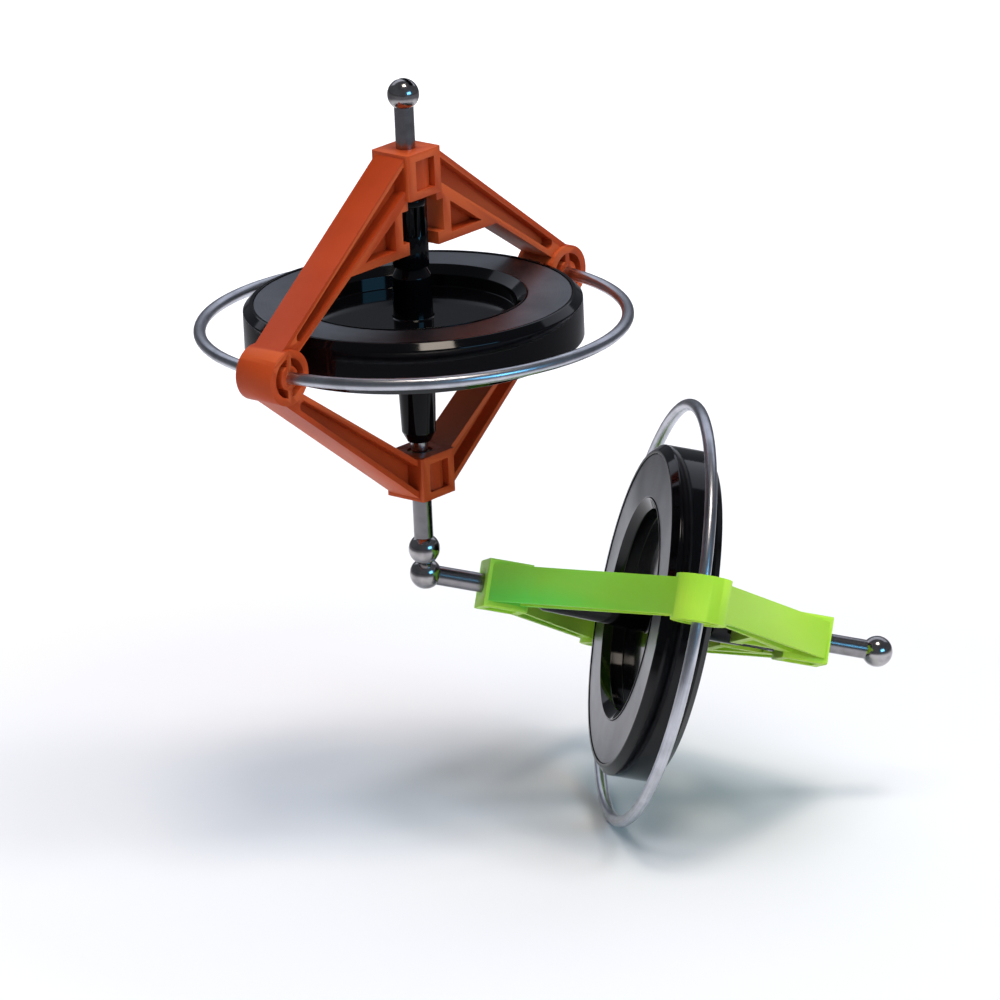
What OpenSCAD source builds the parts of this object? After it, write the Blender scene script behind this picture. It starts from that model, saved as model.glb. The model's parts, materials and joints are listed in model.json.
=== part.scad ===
// Two identical toy gyroscopes, one standing on the ball end of the other.
// Each gyroscope is drawn in its own frame: Z is the spin axis, with the
// gusset end of the frame up, X runs through the two bosses that hold the
// ring, and the ring's centre is the origin. The pose at the end of this
// file then places the lower one on its ring and the upper one on its ball.

/* [Ring] */
// Radius of the ring, to the middle of its wire
ring_r = 35; // [33:0.5:40]
// Diameter of the ring's wire
ring_wire_d = 2; // [1.4:0.1:2.4]

/* [Flywheel] */
// Outside diameter of the flywheel
wheel_d = 55.6; // [48:0.1:57]
// Thickness of the flywheel's rim
wheel_t = 8.6; // [7:0.1:10]
// Radius of the rounded shoulders of the rim
wheel_round_r = 2; // [0.6:0.1:3]
// Width of the black border outside each steel ring
wheel_border_w = 1.7; // [0.8:0.1:2.4]
// Radial width of each steel ring
weight_w = 7.4; // [4:0.1:9]
// Depth of each steel ring in the rim
weight_t = 3; // [1:0.1:3.2]
// Width of the lip between a steel ring and the bowl
bowl_lip_w = 0.8; // [0.4:0.1:1.6]
// Amount by which the bowl narrows from the face to the web
bowl_taper = 1.2; // [0:0.1:3]
// Amount by which a steel ring lies below the rim's face
weight_inset = 0.15; // [0.05:0.05:0.4]
// Thickness of the web that joins rim and hub
web_t = 1.8; // [1:0.1:3]

/* [Spindle] */
// Diameter of the steel axle
axle_d = 2.9; // [2:0.1:3.2]
// Diameter of the axle's journals
journal_d = 1.6; // [1:0.1:1.8]
// Height of the pointed end of a journal
point_h = 0.6; // [0.3:0.1:0.8]
// Diameter of the gusset-end sleeve at the web
sleeve_top_d = 6.6; // [5:0.1:8]
// Top of the gusset-end sleeve above the ring's plane
sleeve_top_z = 9.6; // [6:0.1:11]
// Diameter of the plain-end sleeve at the web
sleeve_foot_d = 6.8; // [5:0.1:8]
// End of the plain-end sleeve below the ring's plane
sleeve_foot_z = 20.4; // [15:0.1:20.8]
// Diameter of the plain-end sleeve at its end
sleeve_foot_end_d = 5.6; // [4.6:0.1:6.4]
// Outside diameter of the pinion's collars and teeth
pinion_d = 6; // [5:0.1:6.4]
// Number of teeth on the pinion
pinion_teeth = 10; // [8:1:14]
// Depth of the pinion's teeth
tooth_h = 0.7; // [0.3:0.1:0.9]
// Bottom of the pinion's toothed part above the ring's plane
teeth_z = 14.9; // [12.5:0.1:16]
// Length of the pinion's toothed part
teeth_l = 5; // [3:0.1:5.4]

/* [Frame] */
// Distance from the ring's plane to each end face of the frame
hub_z = 29.4; // [28:0.1:32]
// Half the width of a hub along the frame's plane
hub_x = 4.1; // [4:0.1:5]
// Thickness of a hub across the frame's plane
hub_y = 8; // [7:0.1:9]
// Bevel on the upright corners of a hub
hub_bevel = 0.3; // [0.1:0.1:0.8]
// Length of the gusset-end hub
hub_top_l = 7.7; // [7:0.1:9]
// Length of the plain-end hub
hub_foot_l = 7.4; // [7:0.1:9]
// Step from a hub's end face to the start of the limbs
limb_step = 0.6; // [0.4:0.1:2]
// Width of the limbs across the frame's plane
limb_y = 6.1; // [5:0.1:7]
// Depth of a limb in the frame's plane where it leaves the hub
limb_root = 5.4; // [4.8:0.1:5.8]
// Depth of a limb at its other end, inside the boss
limb_tip = 3.1; // [2.8:0.1:4]
// Thickness of the limbs' edge flanges
flange_t = 0.9; // [0.6:0.1:1.4]
// Thickness of the web inside limbs and gussets
rib_t = 1.6; // [1:0.1:3]
// Diameter of the bosses on the ring
boss_d = 9.2; // [8.4:0.1:10]
// Length of the bosses along the ring
boss_l = 7.5; // [6.5:0.1:9]
// Outer wall of a boss around its groove
boss_wall = 1.3; // [0.8:0.1:1.6]
// Diameter of the tube inside a boss that grips the ring
boss_tube_d = 4; // [3:0.1:4.6]
// Depth of the groove in a boss's end face
boss_groove = 2; // [0.5:0.1:2.6]
// Width of the two ribs across that groove
boss_rib = 1; // [0.6:0.1:1.4]
// Distance from the axis to the inner edge of a gusset
gusset_x = 3.6; // [3.5:0.1:4.2]
// Height of a gusset's lower edge above the ring's plane
gusset_z = 12.6; // [11.8:0.1:14]
// Width of a gusset's upright flange
gusset_post = 3.3; // [2.2:0.1:4]
// Thickness of a gusset's lower flange
gusset_sill = 1.4; // [0.8:0.1:2]
// Depth of the cord notch in a gusset's upright flange
notch_depth = 1.5; // [0.6:0.1:1.8]

/* [Pins and balls] */
// Diameter of the pins
pin_d = 3.2; // [2.6:0.1:3.6]
// Depth to which a pin is pressed into its hub
pin_seat = 4; // [3:0.1:4.2]
// Diameter of the balls
ball_d = 5.2; // [4.8:0.1:7]
// Distance from the ring's plane to the centre of the slotted ball
ball_top_z = 38.4; // [36:0.1:42]
// Distance from the ring's plane to the centre of the foot ball
ball_foot_z = 39.1; // [36:0.1:42]
// Width of the string slot across the slotted ball
slot_w = 0.8; // [0.5:0.1:1.2]
// Depth of the string slot
slot_depth = 0.9; // [0.4:0.1:1.2]
// Diameter of the spigot on a pin that a ball is pressed onto
spigot_d = 1.8; // [1.2:0.1:2.2]
// Length of that spigot
spigot_l = 1.5; // [1:0.1:1.8]
// Running clearance between the upper foot ball and its pin's hollow end
cup_clear = 0.05; // [0.02:0.01:0.1]

/* [Bearings] */
// Outside diameter of a bearing cup
bearing_d = 4.2; // [3.6:0.1:4.6]
// Length of a bearing cup
bearing_l = 2.4; // [1.8:0.1:2.6]
// Depth of a bearing cup below its hub's inner face
bearing_inset = 0.4; // [0.2:0.1:0.6]
// Radial running clearance of a journal
journal_clear = 0.05; // [0.02:0.01:0.1]
// End play of the axle at each bearing
end_play = 0.1; // [0.05:0.01:0.2]

/* [Pose] */
// Angle by which the lower axis dips towards its gusset end
dip = 12.6; // [5:0.1:15]
// Heading of the lower axis, seen from above
yaw = 7.4; // [-20:0.1:20]
// Turn of the lower frame about its own axis
lower_roll = -112; // [-180:1:180]
// Lean of the upper axis
lean = -2.4; // [-8:0.1:8]
// Heading of the upper frame's near boss
upper_heading = -130; // [-180:1:180]
// Tilt from the vertical of the line through the two touching balls
touch_tilt = 21.5; // [0:0.1:25]
// Heading of that tilt
touch_heading = -95; // [-180:1:180]
// Gap left between the touching balls
touch_gap = 0.05; // [0.02:0.01:0.1]

/* [Hidden] */
$fn = 96;
eps = 0.01;

orange = [0.66, 0.24, 0.11];
lime = [0.52, 0.8, 0.25];
black = [0.06, 0.06, 0.07];
steel = [0.62, 0.63, 0.66];
zinc = [0.4, 0.41, 0.43];
bronze = [0.55, 0.45, 0.28];

// Flywheel radii, from the rim inwards
wheel_r = wheel_d / 2;
weight_out_r = wheel_r - wheel_border_w;
weight_in_r = weight_out_r - weight_w;
bowl_r = weight_in_r - bowl_lip_w;
bowl_floor_r = bowl_r - bowl_taper;

// Sleeves: draft of the gusset-end one, and the bevel at both ends
sleeve_draft = 0.15;
sleeve_cone = 0.9;

// Hub faces and bearings, as distances from the ring's plane
hub_top_in = hub_z - hub_top_l;
hub_foot_in = hub_z - hub_foot_l;
bearing_top_z = hub_top_in + bearing_inset;
bearing_foot_z = hub_foot_in + bearing_inset;
// A journal starts this far outside its bearing and runs this far into it
journal_step = 0.25;
journal_l = 1.7;

// A limb's outer edge runs from the step under a hub to just inside the boss's rim
limb_start = [hub_x, hub_z - limb_step];
limb_reach = boss_d / 2 - 0.55;
limb_span = [ring_r - limb_start.x, -limb_start.y];
limb_angle = atan2(limb_span.y, limb_span.x) + asin(limb_reach / norm(limb_span));
limb_l = sqrt(norm(limb_span) * norm(limb_span) - limb_reach * limb_reach);
// A limb's inner edge starts here and closes in on the outer edge towards the boss
inner_start = limb_start + limb_root * [sin(limb_angle), -cos(limb_angle)];
inner_angle = limb_angle + atan2(limb_root - limb_tip, limb_l);
pocket_end = limb_l - boss_d * 0.62;
pocket_corner = 0.5;

// Hub pockets: plain walls above and below, and between a pocket and the hub's side
pocket_cap = 1.3;
pocket_wall = 1.8;
// The round column between the pockets, around the pin and the bearing
column_r = 3.6;

// The notch in a gusset clears the pinion's teeth
notch_play = 0.2;
notch_z = teeth_z - notch_play;
notch_l = teeth_l + 2 * notch_play;

// Flat on a ball where its pin's shoulder meets it
seat_z = sqrt(ball_d * ball_d - pin_d * pin_d) / 2;

// The lower gyroscope's centre, over the point where its ring meets the table
lower_axis = [cos(dip) * cos(yaw), cos(dip) * sin(yaw), -sin(dip)];
lower_centre = [
    ring_r * sin(dip) * cos(yaw),
    ring_r * sin(dip) * sin(yaw),
    ring_r * cos(dip) + ring_wire_d / 2
];
// The upper foot ball stands on the lower one, and the upper centre is above it
touch_line = [
    sin(touch_tilt) * cos(touch_heading),
    sin(touch_tilt) * sin(touch_heading),
    cos(touch_tilt)
];
lower_ball = lower_centre - ball_foot_z * lower_axis;
upper_ball = lower_ball + (ball_d + touch_gap) * touch_line;
upper_axis = [sin(lean), 0, cos(lean)];
upper_centre = upper_ball + ball_foot_z * upper_axis;

// Extrudes a drawing of the frame's own plane, X across and Z up, to a width
module across(width) {
    rotate([90, 0, 0])
        linear_extrude(height = width, center = true)
            children();
}

// Both sides of the frame, mirrored left to right
module both_sides() {
    children();
    mirror([1, 0, 0]) children();
}

// Local frame of a limb: X along its outer edge, Y into the frame
module along_limb() {
    translate(limb_start)
        rotate(limb_angle)
            mirror([0, 1]) children();
}

// Depth of a limb at a distance along its outer edge
function limb_depth(along) = limb_root - (limb_root - limb_tip) * along / limb_l;

module limb_outline() {
    along_limb()
        polygon([[0, 0], [limb_l, 0], [limb_l, limb_tip], [0, limb_root]]);
}

module limb_pocket() {
    c = pocket_corner;
    near = flange_t;
    far = pocket_end;
    along_limb()
        polygon([
            [near, flange_t],
            [far - c, flange_t],
            [far, flange_t + c],
            [far, limb_depth(far) - flange_t - c],
            [far - c, limb_depth(far - c) - flange_t],
            [near, limb_depth(near) - flange_t]
        ]);
}

// Height of a limb's inner edge over the frame's plane at a distance x from the axis
function limb_inner(x) = inner_start.y + (x - inner_start.x) * tan(inner_angle);
// Distance from the axis where a limb's inner edge comes down to height z
function limb_inner_x(z) = inner_start.x + (z - inner_start.y) / tan(inner_angle);

module gusset_outline() {
    polygon([
        [gusset_x, gusset_z],
        [limb_inner_x(gusset_z) + 1, gusset_z],
        [limb_start.x + 1, limb_inner(limb_start.x)],
        [hub_x, hub_top_in + 1],
        [gusset_x, hub_top_in + 1]
    ]);
}

// The recess between a gusset's post, its sill and the limb above it
module gusset_pocket() {
    low = gusset_z + gusset_sill;
    near = gusset_x + gusset_post;
    rise = flange_t / cos(inner_angle);
    polygon([
        [near, low],
        [limb_inner_x(low + rise), low],
        [near, limb_inner(near) - rise]
    ]);
}

module notch_outline() {
    translate([gusset_x - 1, notch_z]) square([1 + notch_depth, notch_l]);
}

// A hub's block, standing on z = 0 and rising to its end face
module hub_block(length) {
    x = hub_x;
    y = hub_y / 2;
    b = hub_bevel;
    linear_extrude(height = length)
        polygon([
            [x - b, -y], [x, b - y], [x, y - b], [x - b, y],
            [b - x, y], [-x, y - b], [-x, b - y], [b - x, -y]
        ]);
}

// Pockets in a hub's front and back that leave a round column inside
module hub_pockets(length) {
    inner = length - 2 * pocket_cap;
    wide = hub_x - pocket_wall;
    difference() {
        translate([-wide, -hub_y, pocket_cap]) cube([2 * wide, 2 * hub_y, inner]);
        cylinder(h = length, r = column_r);
    }
}

// Grooves in both end faces of a boss, broken by ribs
module boss_grooves() {
    groove_r = boss_d / 2 - boss_wall;
    for (side = [-1, 1])
        translate([ring_r, side * (boss_l / 2 - boss_groove / 2 + eps), 0])
            rotate([90, 0, 0])
                difference() {
                    cylinder(h = boss_groove + 2 * eps, r = groove_r, center = true);
                    cylinder(h = 2 * boss_groove, d = boss_tube_d, center = true);
                    cube([boss_rib, 2 * groove_r, 2 * boss_groove], center = true);
                }
}

module frame_solid() {
    across(limb_y) {
        both_sides() {
            limb_outline();
            mirror([0, 1]) limb_outline();
            gusset_outline();
        }
    }
    for (side = [-1, 1])
        translate([side * ring_r, 0, 0])
            rotate([90, 0, 0]) cylinder(h = boss_l, d = boss_d, center = true);
    translate([0, 0, hub_top_in]) hub_block(hub_top_l);
    translate([0, 0, -hub_z]) hub_block(hub_foot_l);
}

module frame_pockets() {
    cut = (limb_y - rib_t) / 2;
    for (side = [-1, 1])
        translate([0, side * (rib_t / 2 + cut / 2 + eps), 0])
            across(cut + 2 * eps)
                both_sides() {
                    difference() {
                        union() {
                            limb_pocket();
                            mirror([0, 1]) limb_pocket();
                            gusset_pocket();
                        }
                        translate([ring_r, 0]) circle(d = boss_d);
                        square([2 * hub_x, 2 * hub_z], center = true);
                    }
                }
    across(limb_y + 2) both_sides() notch_outline();
    both_sides() boss_grooves();
    translate([0, 0, hub_top_in]) hub_pockets(hub_top_l);
    translate([0, 0, -hub_z]) hub_pockets(hub_foot_l);
}

// One-piece moulding: two hubs, four limbs, two gussets and two ring bosses
module frame(tint) {
    color(tint)
        difference() {
            frame_solid();
            frame_pockets();
            ring_shape();
            pin_bores();
            bearing_seats();
        }
}

module pin_bores() {
    translate([0, 0, hub_z - pin_seat]) cylinder(h = pin_seat + 1, d = pin_d);
    translate([0, 0, -hub_z - 1]) cylinder(h = pin_seat + 1, d = pin_d);
}

module bearing_seats() {
    translate([0, 0, hub_top_in - 1]) cylinder(h = bearing_inset + bearing_l + 1, d = bearing_d);
    translate([0, 0, -bearing_foot_z - bearing_l])
        cylinder(h = bearing_inset + bearing_l + 1, d = bearing_d);
}

// Wire hoop whose butt joint lies hidden in a boss
module ring_shape() {
    rotate(0.2)
        rotate_extrude(angle = 359.6, $fn = 180)
            translate([ring_r, 0]) circle(d = ring_wire_d, $fn = 32);
}

module ring() {
    color(steel) ring_shape();
}

// A pin from its seat in the hub to the ball, with a spigot for the ball
module pin(ball_z) {
    low = hub_z - pin_seat;
    high = ball_z - seat_z;
    color(steel) {
        translate([0, 0, low]) cylinder(h = high - low, d = pin_d);
        translate([0, 0, high - eps]) cylinder(h = spigot_l + eps, d = spigot_d);
    }
}

// The pin that turns on its ball: its end is hollowed to the ball's curve
module cupped_pin(ball_z) {
    low = hub_z - pin_seat;
    color(steel)
        difference() {
            translate([0, 0, low]) cylinder(h = ball_z - low, d = pin_d);
            translate([0, 0, ball_z]) sphere(d = ball_d + 2 * cup_clear);
        }
}

// A turned ball, flat and bored where the pin enters it
module ball(ball_z) {
    color(steel)
        translate([0, 0, ball_z])
            difference() {
                sphere(d = ball_d);
                translate([0, 0, -seat_z - ball_d / 2]) cube(ball_d, center = true);
                translate([0, 0, -seat_z - eps]) cylinder(h = spigot_l + eps, d = spigot_d);
            }
}

// The same with a slot across its tip, for the string
module slotted_ball(ball_z) {
    color(steel)
        difference() {
            ball(ball_z);
            translate([0, 0, ball_z + ball_d / 2])
                cube([slot_w, 2 * ball_d, 2 * slot_depth], center = true);
        }
}

// The whole ball that the cupped pin turns on
module round_ball(ball_z) {
    color(steel) translate([0, 0, ball_z]) sphere(d = ball_d);
}

// Cup with a blind bore and a conical bottom for a journal's point
module bearing(face_z) {
    bore_r = journal_d / 2 + journal_clear;
    straight = journal_l - point_h + end_play;
    color(bronze)
        translate([0, 0, face_z])
            difference() {
                cylinder(h = bearing_l, d = bearing_d);
                translate([0, 0, -eps]) cylinder(h = straight + eps, r = bore_r);
                translate([0, 0, straight]) cylinder(h = point_h, r1 = bore_r, r2 = 0);
            }
}

// Half of the axle: shaft, journal and point
module half_axle(face_z) {
    shoulder = face_z - journal_step;
    tip = face_z + journal_l;
    cylinder(h = shoulder, d = axle_d);
    translate([0, 0, shoulder - eps])
        cylinder(h = tip - point_h - shoulder + eps, d = journal_d);
    translate([0, 0, tip - point_h]) cylinder(h = point_h, d1 = journal_d, d2 = 0);
}

module axle() {
    color(steel) {
        half_axle(bearing_top_z);
        mirror([0, 0, 1]) half_axle(bearing_foot_z);
    }
}

// Half-section of the web and the two sleeves, X from the axis and Y along it
module hub_section() {
    bore = axle_d / 2;
    web = web_t / 2;
    top_r = sleeve_top_d / 2;
    top_end_r = top_r - sleeve_draft;
    foot_end_r = sleeve_foot_end_d / 2;
    polygon([
        [bore, -sleeve_foot_z], [foot_end_r - sleeve_cone, -sleeve_foot_z],
        [foot_end_r, sleeve_cone - sleeve_foot_z], [sleeve_foot_d / 2, -web],
        [bowl_floor_r + 1, -web], [bowl_floor_r + 1, web], [top_r, web],
        [top_end_r, sleeve_top_z - sleeve_cone], [top_end_r - sleeve_cone, sleeve_top_z],
        [bore, sleeve_top_z]
    ]);
}

// Half-section of the rim, with rounded shoulders, bowls and the rings' seats
module rim_section() {
    half = wheel_t / 2;
    shoulder_r = wheel_r - wheel_round_r;
    shoulder_y = half - wheel_round_r;
    difference() {
        union() {
            translate([bowl_floor_r, -shoulder_y]) square([wheel_r - bowl_floor_r, 2 * shoulder_y]);
            translate([bowl_floor_r, -half]) square([shoulder_r - bowl_floor_r, wheel_t]);
            for (y = [-shoulder_y, shoulder_y])
                translate([shoulder_r, y]) circle(wheel_round_r, $fn = 48);
        }
        for (side = [-1, 1]) {
            polygon([
                [bowl_floor_r, side * web_t / 2], [bowl_r, side * half],
                [bowl_r, side * (half + 1)], [bowl_floor_r - 1, side * (half + 1)],
                [bowl_floor_r - 1, side * web_t / 2]
            ]);
            translate([weight_in_r, side > 0 ? half - weight_t : -half - 1])
                square([weight_w, weight_t + 1]);
        }
    }
}

module flywheel() {
    color(black)
        rotate_extrude($fn = 180) {
            hub_section();
            rim_section();
        }
}

// Steel ring set just below the face of the rim
module weight() {
    color(zinc)
        rotate_extrude($fn = 180)
            translate([weight_in_r, wheel_t / 2 - weight_t])
                square([weight_w, weight_t - weight_inset]);
}

// Toothed sleeve that the pull cord drives, pressed onto the axle
module pinion() {
    root_r = pinion_d / 2 - tooth_h;
    top = hub_top_in - 0.8;
    tooth_w = 0.45 * 2 * PI * root_r / pinion_teeth;
    color(black)
        difference() {
            union() {
                translate([0, 0, sleeve_top_z]) cylinder(h = teeth_z - sleeve_top_z, d = pinion_d);
                translate([0, 0, teeth_z - eps]) cylinder(h = teeth_l + 2 * eps, r = root_r);
                translate([0, 0, teeth_z + teeth_l]) cylinder(h = top - teeth_z - teeth_l, d = pinion_d);
                for (k = [0 : pinion_teeth - 1])
                    rotate(k * 360 / pinion_teeth)
                        translate([root_r - 0.3, -tooth_w / 2, teeth_z - eps])
                            cube([tooth_h + 0.25, tooth_w, teeth_l + 2 * eps]);
            }
            cylinder(h = 2 * hub_z, d = axle_d, center = true);
        }
}

// Turns a piece of the plain end to the negative side of the ring's plane
module foot_end() {
    rotate([180, 0, 0]) children();
}

module place_lower() {
    translate(lower_centre)
        rotate([0, 90 + dip, yaw])
            rotate(lower_roll) children();
}

module place_upper() {
    translate(upper_centre)
        rotate([0, lean, 0])
            rotate(upper_heading) children();
}

module lower_frame() { place_lower() frame(lime); }
module lower_ring() { place_lower() ring(); }
module lower_top_pin() { place_lower() pin(ball_top_z); }
module lower_top_ball() { place_lower() slotted_ball(ball_top_z); }
module lower_foot_pin() { place_lower() foot_end() pin(ball_foot_z); }
module lower_foot_ball() { place_lower() foot_end() ball(ball_foot_z); }
module lower_top_bearing() { place_lower() bearing(bearing_top_z); }
module lower_foot_bearing() { place_lower() foot_end() bearing(bearing_foot_z); }
module lower_axle() { place_lower() axle(); }
module lower_flywheel() { place_lower() flywheel(); }
module lower_top_weight() { place_lower() weight(); }
module lower_foot_weight() { place_lower() foot_end() weight(); }
module lower_pinion() { place_lower() pinion(); }

module upper_frame() { place_upper() frame(orange); }
module upper_ring() { place_upper() ring(); }
module upper_top_pin() { place_upper() pin(ball_top_z); }
module upper_top_ball() { place_upper() slotted_ball(ball_top_z); }
module upper_foot_pin() { place_upper() foot_end() cupped_pin(ball_foot_z); }
module upper_foot_ball() { place_upper() foot_end() round_ball(ball_foot_z); }
module upper_top_bearing() { place_upper() bearing(bearing_top_z); }
module upper_foot_bearing() { place_upper() foot_end() bearing(bearing_foot_z); }
module upper_axle() { place_upper() axle(); }
module upper_flywheel() { place_upper() flywheel(); }
module upper_top_weight() { place_upper() weight(); }
module upper_foot_weight() { place_upper() foot_end() weight(); }
module upper_pinion() { place_upper() pinion(); }

lower_frame();
lower_ring();
lower_top_pin();
lower_top_ball();
lower_foot_pin();
lower_foot_ball();
lower_top_bearing();
lower_foot_bearing();
lower_axle();
lower_flywheel();
lower_top_weight();
lower_foot_weight();
lower_pinion();
upper_frame();
upper_ring();
upper_top_pin();
upper_top_ball();
upper_foot_pin();
upper_foot_ball();
upper_top_bearing();
upper_foot_bearing();
upper_axle();
upper_flywheel();
upper_top_weight();
upper_foot_weight();
upper_pinion();
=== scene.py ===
import json
import math

import bmesh
import bpy
from mathutils import Matrix, Vector


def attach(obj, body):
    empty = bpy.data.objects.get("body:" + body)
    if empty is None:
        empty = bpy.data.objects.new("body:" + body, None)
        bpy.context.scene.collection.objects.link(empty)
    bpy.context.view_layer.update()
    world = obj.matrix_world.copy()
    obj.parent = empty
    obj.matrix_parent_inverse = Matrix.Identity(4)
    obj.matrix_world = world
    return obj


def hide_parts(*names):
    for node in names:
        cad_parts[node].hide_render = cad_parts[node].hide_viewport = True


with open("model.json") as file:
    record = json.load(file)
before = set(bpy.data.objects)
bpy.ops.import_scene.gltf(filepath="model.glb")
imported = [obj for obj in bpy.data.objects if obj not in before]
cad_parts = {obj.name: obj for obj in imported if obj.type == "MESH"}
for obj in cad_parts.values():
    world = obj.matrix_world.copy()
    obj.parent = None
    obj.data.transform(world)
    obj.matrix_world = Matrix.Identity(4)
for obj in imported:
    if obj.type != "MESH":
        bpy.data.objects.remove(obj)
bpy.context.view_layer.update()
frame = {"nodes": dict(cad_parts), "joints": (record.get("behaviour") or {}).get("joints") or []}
nodes = frame["nodes"]
joints = {joint["name"]: joint for joint in frame["joints"]}
mm = 0.001
print("frame loaded:", len(nodes), "nodes")

# how each gyroscope stands: turns in degrees about its ring's centre, as in the CAD
stance = {
    "lower": [("Z", 7.4), ("Y", 102.6), ("Z", -112.0)],
    "upper": [("Y", -2.4), ("Z", -130.0)],
}
frameBody = {"lower": "root", "upper": "upper_gyroscope"}


def placeOf(side):
    place = Matrix.Translation(joints[side + "_spin"]["pos_m"])
    for axis, angle in stance[side]:
        place = place @ Matrix.Rotation(math.radians(angle), 4, axis)
    return place


places = {side: placeOf(side) for side in stance}
footEnd = Matrix.Rotation(math.pi, 4, "X")


# shader sums: a Wire is a socket that can be added, multiplied and so on
class Wire:
    def __init__(self, shader, socket):
        self.shader = shader
        self.socket = socket

    def math(self, operation, other=0.0, flipped=False):
        pair = [other, self] if flipped else [self, other]
        return self.shader.add("ShaderNodeMath", {"operation": operation}, pair)

    def __add__(self, other):
        return self.math("ADD", other)

    __radd__ = __add__

    def __sub__(self, other):
        return self.math("SUBTRACT", other)

    def __rsub__(self, other):
        return self.math("SUBTRACT", other, True)

    def __mul__(self, other):
        return self.math("MULTIPLY", other)

    __rmul__ = __mul__

    def __truediv__(self, other):
        return self.math("DIVIDE", other)

    def __rtruediv__(self, other):
        return self.math("DIVIDE", other, True)

    def __pow__(self, other):
        return self.math("POWER", other)

    def __rpow__(self, other):
        return self.math("POWER", other, True)


# each made piece keeps, under this name, where its points are in its gyroscope's own frame
keptPlace = "gyroFrame"


class Shader:
    def __init__(self, name, kept=True):
        self.kept = kept
        self.material = bpy.data.materials.new(name)
        self.material.use_nodes = True
        self.tree = self.material.node_tree
        self.surface = self.tree.nodes["Principled BSDF"]

    # adds a node: its settings first, then the values or wires of its sockets
    def add(self, kind, settings=None, sockets=None, out=0):
        node = self.tree.nodes.new(kind)
        for key, value in (settings or {}).items():
            if key == "stops":
                self.setStops(node.color_ramp, value)
            else:
                setattr(node, key, value)
        pairs = sockets.items() if isinstance(sockets, dict) else enumerate(sockets or [])
        for key, value in pairs:
            self.feed(node.inputs[key], value)
        return Wire(self, node.outputs[out])

    def setStops(self, ramp, stops):
        while len(ramp.elements) < len(stops):
            ramp.elements.new(1.0)
        for element, (place, value) in zip(ramp.elements, stops):
            element.position = place
            element.color = value if isinstance(value, tuple) else (value, value, value, 1)

    def feed(self, socket, value):
        if isinstance(value, Wire):
            self.tree.links.new(value.socket, socket)
        else:
            socket.default_value = value

    def finish(self, **sockets):
        for key, value in sockets.items():
            self.feed(self.surface.inputs[key.replace("_", " ")], value)
        return self.material

    def place(self):
        if self.kept:
            return self.add("ShaderNodeAttribute", {"attribute_name": keptPlace}, out="Vector")
        return self.add("ShaderNodeTexCoord", out="Object")

    def axis(self, vector, letter):
        return self.add("ShaderNodeSeparateXYZ", {}, [vector], out=letter)

    def vector(self, x=0.0, y=0.0, z=0.0):
        return self.add("ShaderNodeCombineXYZ", {}, [x, y, z])

    def stretch(self, x, y, z):
        return self.add("ShaderNodeVectorMath", {"operation": "MULTIPLY"}, [self.place(), (x, y, z)])

    # distance from the local Z axis, in metres
    def radius(self):
        flat = self.stretch(1, 1, 0)
        return self.add("ShaderNodeVectorMath", {"operation": "LENGTH"}, [flat], out="Value")

    def noise(self, scale, detail=3.0, rough=0.55, vector=None):
        sockets = {"Vector": vector or self.place(), "Scale": scale, "Detail": detail}
        sockets["Roughness"] = rough
        return self.add("ShaderNodeTexNoise", {}, sockets)

    def ramp(self, value, *stops):
        return self.add("ShaderNodeValToRGB", {"stops": stops}, [value])

    def mix(self, mask, low, high):
        return self.add("ShaderNodeMix", {"data_type": "RGBA"}, {0: mask, 6: low, 7: high}, out=2)

    # relief is the strength of a bump and its depth in mm
    def bump(self, height, relief):
        strength, depth = relief
        sockets = {"Height": height, "Strength": strength, "Distance": depth * mm}
        return self.add("ShaderNodeBump", {}, sockets)


# moulded frame plastic: a soft satin skin with faint flow marks, and paler edges that are a painted
# highlight
plasticLook = {
    "orange": {
        "foot": (0.40, 0.047, 0.009, 1),
        "top": (0.40, 0.047, 0.009, 1),
        "deep": (0.30, 0.033, 0.007, 1),
        # pale: the colour of the painted highlight along the edges
        "pale": (0.56, 0.10, 0.026, 1),
        "glow": (1.0, 0.25, 0.08),
        "subsurface": 0.04,
    },
    "lime": {
        # the lime's foot tint, darker and greener, is painted shade, and its top tint, paler and
        # yellower, is painted light
        "foot": (0.15, 0.70, 0.095, 1),
        "top": (0.33, 0.56, 0.024, 1),
        "deep": (0.23, 0.56, 0.035, 1),
        # pale: the colour of the painted highlight along the edges
        "pale": (0.50, 0.78, 0.07, 1),
        "glow": (0.6, 1.0, 0.2),
        "subsurface": 0.25,
    },
    "blend": (-24.0, 2.0),  # heights between which the foot's tint goes over to the top's, in mm
    "flowScale": 70.0,
    "skinScale": 1700.0,
    "roughness": (0.36, 0.52),
    "relief": (0.3, 0.02),
    "scatterDepth": 1.2,
    "shine": 0.14,
    "ior": 1.49,
}


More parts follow.
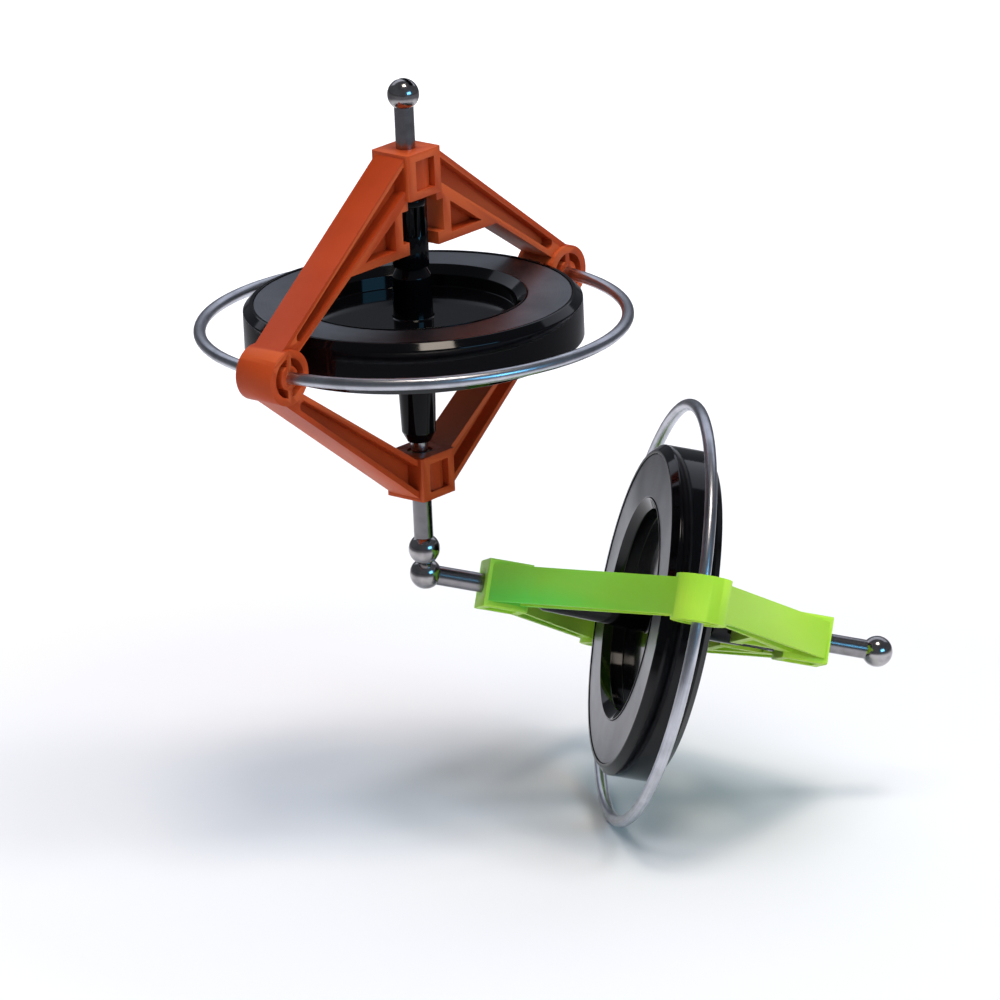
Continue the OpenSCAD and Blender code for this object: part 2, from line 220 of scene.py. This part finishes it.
def framePlastic(tint):
    look = plasticLook[tint]
    s = Shader(tint + "FramePlastic")
    flow = s.noise(plasticLook["flowScale"], 4.0)
    skin = s.noise(plasticLook["skinScale"], 3.0)
    low, high = plasticLook["roughness"]
    start, end = plasticLook["blend"]
    # the tint goes over from foot to top along the spin axis: for the lime, painted shade at the foot
    # and painted light at the top
    along = (s.axis(s.place(), "Z") - start * mm) / ((end - start) * mm)
    colour = s.mix(s.ramp(along, (0.0, 0.0), (1.0, 1.0)), look["foot"], look["top"])
    colour = s.mix(s.ramp(flow, (0.4, 0.0), (0.75, 0.7)), colour, look["deep"])
    # paler colour where the mesh is sharp: a painted highlight along the edges
    edge = s.add("ShaderNodeNewGeometry", out="Pointiness")
    colour = s.mix(s.ramp(edge, (0.52, 0.0), (0.62, 0.7)), colour, look["pale"])
    wavy = 0.6 * flow + 0.4 * skin
    return s.finish(
        Base_Color=colour,
        Roughness=low + (high - low) * wavy,
        Normal=s.bump(wavy, plasticLook["relief"]),
        Subsurface_Weight=look["subsurface"],
        Subsurface_Radius=look["glow"],
        Subsurface_Scale=plasticLook["scatterDepth"] * mm,
        Specular_IOR_Level=plasticLook["shine"],
        IOR=plasticLook["ior"],
    )


# black moulding of the flywheel and the pinion: glossy, with fine turning lines and a little dust
blackLook = {
    "base": (0.0015, 0.0015, 0.002, 1),
    "dust": (0.012, 0.012, 0.014, 1),
    "roughness": (0.05, 0.11),
    "cloudScale": 110.0,
    "speckScale": 2600.0,
    "lineScale": 900.0,
    "relief": (0.15, 0.02),
    "shine": 0.25,
    "ior": 1.5,
}


def blackMoulding(name):
    s = Shader(name)
    cloud = s.noise(blackLook["cloudScale"], 5.0)
    speck = s.ramp(s.noise(blackLook["speckScale"], 2.0), (0.66, 0.0), (0.8, 0.6))
    section = s.vector(s.radius(), 0.0, s.axis(s.place(), "Z"))
    lines = s.noise(blackLook["lineScale"], 2.0, vector=section)
    low, high = blackLook["roughness"]
    return s.finish(
        Base_Color=s.mix(speck * cloud, blackLook["base"], blackLook["dust"]),
        Roughness=low + (high - low) * (0.7 * cloud + 0.3 * lines),
        Normal=s.bump(0.5 * cloud + 0.5 * lines, blackLook["relief"]),
        Specular_IOR_Level=blackLook["shine"],
        IOR=blackLook["ior"],
    )


# bare metals: marks run round the local Z axis, as left by the lathe
metalLook = {
    "pin": {
        "base": (0.30, 0.29, 0.30, 1),
        "dark": (0.18, 0.175, 0.18, 1),
        "roughness": (0.16, 0.30),
        "lines": 2600.0,
    },
    "ball": {
        "base": (0.46, 0.44, 0.44, 1),
        "dark": (0.22, 0.21, 0.215, 1),
        "roughness": (0.10, 0.20),
        "lines": 1800.0,
    },
    "axle": {
        "base": (0.60, 0.60, 0.62, 1),
        "dark": (0.42, 0.42, 0.44, 1),
        "roughness": (0.12, 0.24),
        "lines": 2600.0,
    },
    "bronze": {
        "base": (0.30, 0.20, 0.10, 1),
        "dark": (0.16, 0.10, 0.05, 1),
        "roughness": (0.4, 0.6),
        "lines": 900.0,
        "kept": False,  # the bearings are CAD pieces, without the kept coordinates
    },
}
stainScale = 420.0
latheSquash = (0.06, 0.06, 1.0)
latheRelief = (0.12, 0.01)


def turnedMetal(kind):
    look = metalLook[kind]
    s = Shader(kind + "Metal", look.get("kept", True))
    stain = s.noise(stainScale, 5.0, 0.6)
    lines = s.noise(look["lines"], 2.0, vector=s.stretch(*latheSquash))
    low, high = look["roughness"]
    return s.finish(
        Base_Color=s.mix(s.ramp(stain, (0.42, 0.0), (0.72, 0.8)), look["base"], look["dark"]),
        Roughness=low + (high - low) * (0.5 * stain + 0.5 * lines),
        Normal=s.bump(lines, latheRelief),
        Metallic=1.0,
    )


# drawn wire of the ring: fine lines run along it
wireLook = {
    "base": (0.60, 0.61, 0.66, 1),
    "dark": (0.40, 0.41, 0.45, 1),
    "roughness": (0.22, 0.36),
    "lineCount": 5.4,  # lines for each radian round the wire
    "lineStretch": 3.0,
    "stainScale": 260.0,
    "relief": (0.25, 0.02),
}


def drawnWire(hoopRadius):
    s = Shader("drawnWire")
    place = s.place()
    radius = s.radius()
    along = s.axis(place, "Y").math("ARCTAN2", s.axis(place, "X"))
    across = s.axis(place, "Z").math("ARCTAN2", radius - hoopRadius * mm)
    unrolled = s.vector(along * wireLook["lineStretch"], across * wireLook["lineCount"])
    lines = s.noise(1.0, 3.0, vector=unrolled)
    stain = s.noise(wireLook["stainScale"], 4.0)
    dull = s.ramp(0.6 * stain + 0.4 * lines, (0.4, 0.0), (0.65, 1.0))
    low, high = wireLook["roughness"]
    return s.finish(
        Base_Color=s.mix(dull, wireLook["base"], wireLook["dark"]),
        Roughness=low + (high - low) * (0.5 * stain + 0.5 * lines),
        Normal=s.bump(lines, wireLook["relief"]),
        Metallic=1.0,
    )


# turned faces of the steel rings in the flywheel
weightLook = {
    "base": (0.22, 0.225, 0.245, 1),
    "dark": (0.15, 0.155, 0.17, 1),
    "roughness": (0.27, 0.36),
    "stainScale": 130.0,
    "lineScale": 4200.0,
    "pitScale": 1500.0,
    "relief": (0.2, 0.01),
    "grain": 0.5,
}


def turnedSteel():
    s = Shader("turnedSteel")
    stain = s.noise(weightLook["stainScale"], 4.0)
    lines = s.noise(weightLook["lineScale"], 2.0, vector=s.vector(s.radius()))
    dull = s.ramp(0.7 * stain + 0.3 * lines, (0.38, 0.0), (0.64, 1.0))
    low, high = weightLook["roughness"]
    return s.finish(
        Base_Color=s.mix(dull, weightLook["base"], weightLook["dark"]),
        Roughness=low + (high - low) * (0.6 * stain + 0.4 * lines),
        Normal=s.bump(lines + 0.3 * s.noise(weightLook["pitScale"]), weightLook["relief"]),
        Metallic=1.0,
        Anisotropic=weightLook["grain"],
    )


hoop = {"radius": 35.0, "wire": 2.0, "wireSteps": 32, "around": 360}
materials = {
    "orange": framePlastic("orange"),
    "lime": framePlastic("lime"),
    "black": blackMoulding("flywheelBlack"),
    "pinionBlack": blackMoulding("pinionBlack"),
    "weight": turnedSteel(),
    "wire": drawnWire(hoop["radius"]),
    **{kind: turnedMetal(kind) for kind in metalLook},
}
print("materials made:", len(materials))


# puts a piece in the scene, on its body and in place of its CAD node
def install(name, mesh, place, body, node, material):
    mesh.materials.clear()
    mesh.materials.append(materials[material])
    points = [value for vertex in mesh.vertices for value in vertex.co]
    mesh.attributes.new(keptPlace, "FLOAT_VECTOR", "POINT").data.foreach_set("vector", points)
    mesh.transform(place)
    piece = bpy.data.objects.new(name, mesh)
    bpy.context.scene.collection.objects.link(piece)
    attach(piece, body)
    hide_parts(node)
    return piece


def soften(piece, width, angle):
    bevel = piece.modifiers.new("softEdges", "BEVEL")
    bevel.width = width * mm
    bevel.segments = 2
    bevel.limit_method = "ANGLE"
    bevel.angle_limit = math.radians(angle)
    bevel.harden_normals = True


cadClean = {"weld": 0.002, "flatAngle": 0.6}  # in mm and degrees


# a clean copy of a CAD node's mesh, in its gyroscope's own frame
def cleanCopy(node, place):
    mesh = nodes[node].data.copy()
    mesh.transform(place.inverted())
    shape = bmesh.new()
    shape.from_mesh(mesh)
    bmesh.ops.remove_doubles(shape, verts=shape.verts, dist=cadClean["weld"] * mm)
    flat = math.radians(cadClean["flatAngle"])
    bmesh.ops.dissolve_limit(shape, angle_limit=flat, verts=shape.verts, edges=shape.edges)
    shape.to_mesh(mesh)
    shape.free()
    mesh.shade_smooth()
    return mesh


# rounds the corners of a half-section of (radius, height, rounding) points, in mm:
# hold is a short straight step at each end of a corner, which keeps the shading flat beyond it
def roundCorners(corners, steps=5, hold=0.03):
    path = []
    for index, (radius, height, rounding) in enumerate(corners):
        corner = Vector((radius, height))
        if rounding == 0:
            path.append(corner)
            continue
        before = (Vector(corners[index - 1][:2]) - corner).normalized()
        after = (Vector(corners[(index + 1) % len(corners)][:2]) - corner).normalized()
        half = before.angle(after) / 2
        reach = rounding / math.tan(half)
        middle = corner + (before + after).normalized() * rounding / math.sin(half)
        ray = corner + before * reach - middle
        sweep = ray.angle_signed(corner + after * reach - middle)
        path.append(corner + before * (reach + hold))
        path += [middle + Matrix.Rotation(-sweep * step / steps, 2) @ ray for step in range(steps + 1)]
        path.append(corner + after * (reach + hold))
    return path


# an arc of a half-section about a point on the axis, from one angle off the axis to another
def arc(middle, radius, start, end, steps):
    angles = [math.radians(start + (end - start) * step / steps) for step in range(steps + 1)]
    return [Vector((radius * math.sin(a), middle + radius * math.cos(a))) for a in angles]


sharpAngle = 38.0


# revolves a half-section about the local Z axis
def turned(name, path, around, closed=False):
    shape = bmesh.new()
    rows = []
    for point in path:
        if point.x < 1e-5:
            rows.append([shape.verts.new((0, 0, point.y * mm))])
            continue
        row = []
        for step in range(around):
            a = 2 * math.pi * step / around
            spot = (point.x * math.cos(a) * mm, point.x * math.sin(a) * mm, point.y * mm)
            row.append(shape.verts.new(spot))
        rows.append(row)
    for low, high in zip(rows, rows[1:] + (rows[:1] if closed else [])):
        for step in range(around):
            loop = ((low, step), (low, step + 1), (high, step + 1), (high, step))
            shape.faces.new(dict.fromkeys(row[k % len(row)] for row, k in loop))
    bmesh.ops.recalc_face_normals(shape, faces=shape.faces)
    mesh = bpy.data.meshes.new(name)
    shape.to_mesh(mesh)
    shape.free()
    mesh.shade_smooth()
    mesh.set_sharp_from_angle(angle=math.radians(sharpAngle))
    return mesh


# frames
frameLook = {"lower": "lime", "upper": "orange", "edgeRound": 0.22, "edgeAngle": 32}
for side, place in places.items():
    moulding = install(
        side + "FrameMoulding", cleanCopy(side + "_frame", place), place, frameBody[side],
        side + "_frame", frameLook[side],
    )
    soften(moulding, frameLook["edgeRound"], frameLook["edgeAngle"])
print("frames made")

# flywheels: black rim, web and sleeves with a steel ring let into each face.
# A pair such as mouth or shoulder gives a bevel's width and depth, or its width and rounding
wheel = {
    "radius": 27.8,
    "half": 4.3,
    "shoulder": (1.15, 0.35),
    "border": 1.7,
    "steelWidth": 7.4,
    "steelDepth": 3.0,
    "steelInset": 0.15,
    "steelGap": 0.02,
    "steelRound": 0.2,
    "mouth": (1.75, 1.3),
    "bowlTaper": 0.05,
    "bowlRounds": (0.15, 0.25),
    "web": 0.9,
    "bore": 1.45,
    "sleeveTop": (3.3, 3.15, 9.6),
    "sleeveFoot": (3.4, 2.8, 20.4),
    "sleeveBevel": (0.9, 1.7),
    "sleeveRounds": (0.2, 0.4, 0.3),
    "edge": 0.12,
    "around": 256,
}


def wheelSection(w):
    edge = w["edge"]
    steelOut = w["radius"] - w["border"]
    steelIn = steelOut - w["steelWidth"]
    seat = w["half"] - w["steelDepth"]
    mouthWidth, mouthDepth = w["mouth"]
    bevel, soft = w["shoulder"]
    bowl = steelIn - mouthWidth
    bowlFloor = bowl - w["bowlTaper"]
    floorRound, mouthRound = w["bowlRounds"]

    # one face of the rim, from the web to the shoulder
    def face(side):
        return [
            (bowlFloor, side * w["web"], floorRound),
            (bowl, side * (w["half"] - mouthDepth), mouthRound),
            (steelIn - edge, side * w["half"], edge / 2),
            (steelIn, side * w["half"], edge / 4),
            (steelIn, side * seat, 0),
            (steelOut, side * seat, 0),
            (steelOut, side * w["half"], edge / 2),
            (w["radius"] - bevel, side * w["half"], soft),
            (w["radius"], side * (w["half"] - bevel), soft),
        ]

    # one sleeve, from its bore to the web
    def sleeve(side, rootRadius, endRadius, length):
        inset, drop = w["sleeveBevel"]
        endRound, bevelRound, rootRound = w["sleeveRounds"]
        return [
            (w["bore"], side * length, edge),
            (endRadius - inset, side * length, endRound),
            (endRadius, side * (length - drop), bevelRound),
            (rootRadius, side * w["web"], rootRound),
        ]

    foot = sleeve(-1, *w["sleeveFoot"]) + face(-1)
    top = sleeve(1, *w["sleeveTop"]) + face(1)
    return roundCorners(foot + top[::-1])


def steelRingSection(w):
    steelOut = w["radius"] - w["border"] - w["steelGap"]
    steelIn = w["radius"] - w["border"] - w["steelWidth"] + w["steelGap"]
    seat = w["half"] - w["steelDepth"]
    face = w["half"] - w["steelInset"]
    low = [(steelIn, seat, 0), (steelOut, seat, 0)]
    return roundCorners(low + [(steelOut, face, w["steelRound"]), (steelIn, face, w["steelRound"])])


for side, place in places.items():
    body = side + "_wheel"
    name = side + "FlywheelMoulding"
    mesh = turned(name, wheelSection(wheel), wheel["around"], True)
    install(name, mesh, place, body, side + "_flywheel", "black")
    for end, turn in (("top", Matrix.Identity(4)), ("foot", footEnd)):
        name = side + end.capitalize() + "SteelRing"
        mesh = turned(name, steelRingSection(wheel), wheel["around"], True)
        install(name, mesh, place @ turn, body, f"{side}_{end}_weight", "weight")
print("flywheels made")

# axles and pinions
axle = {
    "radius": 1.45,
    "journal": 0.8,
    "top": 21.85,
    "foot": 22.15,
    "reach": 1.35,
    "point": 0.6,
    "rounds": (0.05, 0.15),
    "around": 192,
}
pinion = {"edgeRound": 0.08, "edgeAngle": 32}


def axleSection(a):
    neckRound, shoulderRound = a["rounds"]

    def end(side, shoulder):
        tip = shoulder + a["reach"]
        return [
            (0, side * (tip + a["point"]), 0),
            (a["journal"], side * tip, 0),
            (a["journal"], side * shoulder, neckRound),
            (a["radius"], side * shoulder, shoulderRound),
        ]

    return roundCorners(end(-1, a["foot"]) + end(1, a["top"])[::-1])


for side, place in places.items():
    body = side + "_wheel"
    name = side + "AxleShaft"
    mesh = turned(name, axleSection(axle), axle["around"])
    install(name, mesh, place, body, side + "_axle", "axle")
    name = side + "PinionTeeth"
    mesh = cleanCopy(side + "_pinion", place)
    teeth = install(name, mesh, place, body, side + "_pinion", "pinionBlack")
    soften(teeth, pinion["edgeRound"], pinion["edgeAngle"])
print("axles made")

# wire hoops
for side, place in places.items():
    circle = [2 * math.pi * step / hoop["wireSteps"] for step in range(hoop["wireSteps"])]
    wire = hoop["wire"] / 2
    path = [Vector((hoop["radius"] + wire * math.cos(a), wire * math.sin(a))) for a in circle]
    name = side + "HoopWire"
    mesh = turned(name, path, hoop["around"], True)
    install(name, mesh, place, frameBody[side], side + "_ring", "wire")
print("hoops made")

# pins and balls: the slot in each top ball takes the string
pin = {
    "radius": 1.6,
    "seat": 25.4,
    "top": 38.4,
    "foot": 39.1,
    "edge": 0.2,
    "intoBall": 1.9,  # it ends this far short of its ball's middle
    "clear": 0.05,
    "cupStep": 2.0,
    "cupSteps": 12,
    "around": 64,
}
ball = {
    "radius": 2.6,
    "tipFlat": 6.0,  # half the angle of the flat at the tip
    "slotWidth": 0.8,
    "slotDepth": 0.9,
    "slotEdge": 0.07,
    "slotAngle": 50,
    "arcSteps": 60,
    "around": 96,
}
neck = math.degrees(math.asin(pin["radius"] / ball["radius"]))
pinStart = [(0, pin["seat"], 0), (pin["radius"], pin["seat"], pin["edge"])]


def pinSection(ballHeight):
    end = ballHeight - pin["intoBall"]
    return roundCorners(pinStart + [(pin["radius"], end, 0), (0, end, 0)])


# the end of this pin is hollowed to the ball that it turns on
def cuppedPinSection(ballHeight):
    reach = ball["radius"] + pin["clear"]
    rim = 180 - math.degrees(math.asin(pin["radius"] / reach))
    low = roundCorners(pinStart + [(pin["radius"], pin["seat"] + pin["cupStep"], 0)])
    return low + arc(ballHeight, reach, rim, 180, pin["cupSteps"])


# a turned ball has a tiny flat at its tip, and a second one where it has no neck
def ballSection(height, lowAngle):
    path = arc(height, ball["radius"], ball["tipFlat"], lowAngle, ball["arcSteps"])
    return [Vector((0, path[0].y))] + path + [Vector((0, path[-1].y))]


# the slot is cut right across the ball's tip, along the local Y axis
def cutSlot(mesh, height):
    size = (ball["slotWidth"], 4 * ball["radius"], 2 * ball["slotDepth"])
    top = Vector((0, 0, (height + ball["radius"]) * mm))
    bpy.ops.mesh.primitive_cube_add(size=1)
    cutter = bpy.context.object
    cutter.matrix_world = Matrix.Translation(top) @ Matrix.Diagonal((*[v * mm for v in size], 1))
    piece = bpy.data.objects.new("slotBlank", mesh)
    bpy.context.scene.collection.objects.link(piece)
    cut = piece.modifiers.new("stringSlot", "BOOLEAN")
    cut.operation = "DIFFERENCE"
    cut.object = cutter
    cut.solver = "EXACT"
    bpy.context.view_layer.update()
    view = bpy.context.evaluated_depsgraph_get()
    slotted = bpy.data.meshes.new_from_object(piece.evaluated_get(view))
    bpy.data.objects.remove(piece)
    bpy.data.objects.remove(cutter)
    return slotted


for side, place in places.items():
    body = frameBody[side]
    foot = place @ footEnd
    name = side + "TopPin"
    mesh = turned(name, pinSection(pin["top"]), pin["around"])
    install(name, mesh, place, body, side + "_top_pin", "pin")
    name = side + "TopBall"
    mesh = turned(name, ballSection(pin["top"], 180 - neck), ball["around"])
    mesh = cutSlot(mesh, pin["top"])
    topBall = install(name, mesh, place, body, side + "_top_ball", "ball")
    soften(topBall, ball["slotEdge"], ball["slotAngle"])
    if side == "lower":
        footPin = pinSection(pin["foot"])
        footBall = ballSection(pin["foot"], 180 - neck)
        ballBody = body
    else:
        footPin = cuppedPinSection(pin["foot"])
        footBall = ballSection(pin["foot"], 180 - ball["tipFlat"])
        ballBody = "upper_swivel"
    name = side + "FootPin"
    mesh = turned(name, footPin, pin["around"])
    install(name, mesh, foot, body, side + "_foot_pin", "pin")
    name = side + "FootBall"
    mesh = turned(name, footBall, ball["around"])
    install(name, mesh, foot, ballBody, side + "_foot_ball", "ball")
print("pins and balls made")

# the bearing cups keep their CAD solids
for side in places:
    for end in ("top", "foot"):
        for row in nodes[f"{side}_{end}_bearing"].material_slots:
            row.material = materials["bronze"]
print("bearings dressed")

# floor: in reflections it fades to a painted shade, a dim grey, beyond the lit sheet. Lengths are in
# metres, lit and dim are the distances between which it fades, and glow is where it starts to shine by
# itself, where it is full, and how much it shines
floorLook = {
    "size": 40.0,
    "drop": 0.00002,
    "colour": (0.86, 0.86, 0.87, 1),
    # the dim grey that reflections see beyond the lit sheet: painted shade
    "mirroredShade": (0.12, 0.12, 0.13, 1),
    "litCentre": (0.0, 0.03, 0.0),
    "lit": 0.12,
    "dim": 0.28,
    "fade": 0.95,
    "glow": (0.11, 0.32, 0.35),
}
floorShader = Shader("paleFloor", False)
bpy.ops.mesh.primitive_plane_add(size=floorLook["size"], location=(0, 0, -floorLook["drop"]))
floor = bpy.context.object
floor.name = "floor"
near, far, glow = floorLook["glow"]
floor.data.materials.append(floorShader.finish(
    Base_Color=floorLook["colour"],
    Roughness=1.0,
    Specular_IOR_Level=0.0,
    Emission_Color=floorShader.ramp(floorShader.radius(), (near, 0.0), (far, glow)),
    Emission_Strength=1.0,
))
ends = [floorShader.place(), floorLook["litCentre"]]
fromLit = floorShader.add("ShaderNodeVectorMath", {"operation": "DISTANCE"}, ends, out="Value")
beyond = floorShader.ramp(fromLit, (floorLook["lit"], 0.0), (floorLook["dim"], floorLook["fade"]))
mirrored = floorShader.add("ShaderNodeLightPath", out="Is Glossy Ray")
# reflections beyond the lit sheet see this dim grey instead of the floor: painted shade
mirroredShade = floorShader.add("ShaderNodeBsdfDiffuse", {}, [floorLook["mirroredShade"]])
sheet = Wire(floorShader, floorShader.surface.outputs[0])
blend = floorShader.add("ShaderNodeMixShader", {}, [beyond * mirrored, sheet, mirroredShade])
floorShader.feed(floorShader.tree.nodes["Material Output"].inputs["Surface"], blend)

# camera: looks level along +Y and down by its elevation
cameraLook = {
    "target": (-18.0, 6.5, 53.0),
    "distance": 1522.0,
    "elevation": 17.8,
    "focalPixels": 9190.0,
    "imagePixels": 1000.0,
    "sensor": 36.0,
    "clip": (0.05, 100.0),
}
camera = bpy.data.objects.new("camera", bpy.data.cameras.new("camera"))
bpy.context.scene.collection.objects.link(camera)
down = math.radians(cameraLook["elevation"])
forward = Vector((0, math.cos(down), -math.sin(down)))
camera.location = (Vector(cameraLook["target"]) - forward * cameraLook["distance"]) * mm
camera.rotation_euler = forward.to_track_quat("-Z", "Y").to_euler()
camera.data.sensor_width = cameraLook["sensor"]
camera.data.lens = cameraLook["focalPixels"] / cameraLook["imagePixels"] * cameraLook["sensor"]
camera.data.clip_start, camera.data.clip_end = cameraLook["clip"]
bpy.context.scene.camera = camera

# lights: way towards each from the object, distance and size in metres, power in watts
lightLook = {
    "lamp": {
        "way": (0.09, -0.2, 0.95), "far": 2.2, "size": (0.55, 0.5),
        "power": 13.5, "colour": (1.0, 0.88, 0.76),
    },
    "tall": {
        "way": (0.46, -0.19, 0.9), "far": 2.2, "size": (0.5, 0.5),
        "power": 8.5, "colour": (0.96, 0.97, 1.0),
    },
    "side": {
        "way": (-0.15, -0.36, 0.92), "far": 1.8, "size": (0.8, 0.8),
        "power": 9.5, "colour": (1.0, 0.98, 0.98),
    },
    "fill": {
        "way": (0.75, -0.6, 0.28), "far": 1.6, "size": (1.4, 1.0),
        "power": 4.0, "colour": (1.0, 0.97, 0.93),
    },
    "ceiling": {
        "way": (0.0, 0.02, 1.0), "far": 1.6, "size": (2.4, 2.4),
        "power": 13.0, "colour": (0.9, 0.91, 1.0),
    },
    "window": {
        "way": (0.66, -0.68, 0.33), "far": 1.5, "size": (0.7, 0.4),
        "power": 5.0, "colour": (0.16, 0.6, 1.0),
    },
    "sky": {
        "way": (0.0, 0.74, 0.67), "far": 1.6, "size": (3.0, 1.0),
        "power": 7.5, "colour": (0.82, 0.87, 1.0),
    },
}
# these only fill: nothing glossy mirrors them
unmirrored = ("tall", "side", "fill", "ceiling")
worldLook = {"colour": (0.82, 0.88, 1.0, 1), "strength": 0.12}
litPoint = Vector((-18, 5, 40)) * mm


def addLight(name, look):
    lamp = bpy.data.lights.new(name, "AREA")
    lamp.shape = "RECTANGLE"
    lamp.size, lamp.size_y = look["size"]
    lamp.energy = look["power"]
    lamp.color = look["colour"]
    light = bpy.data.objects.new(name, lamp)
    bpy.context.scene.collection.objects.link(light)
    way = Vector(look["way"]).normalized()
    light.location = litPoint + way * look["far"]
    light.rotation_euler = (-way).to_track_quat("-Z", "Y").to_euler()
    light.visible_camera = False
    light.visible_glossy = name not in unmirrored


for name, look in lightLook.items():
    addLight(name, look)
world = bpy.data.worlds.new("studio")
world.use_nodes = True
background = world.node_tree.nodes["Background"]
background.inputs["Color"].default_value = worldLook["colour"]
background.inputs["Strength"].default_value = worldLook["strength"]
bpy.context.scene.world = world
bpy.context.scene.view_settings.view_transform = "Standard"
print("stage set")
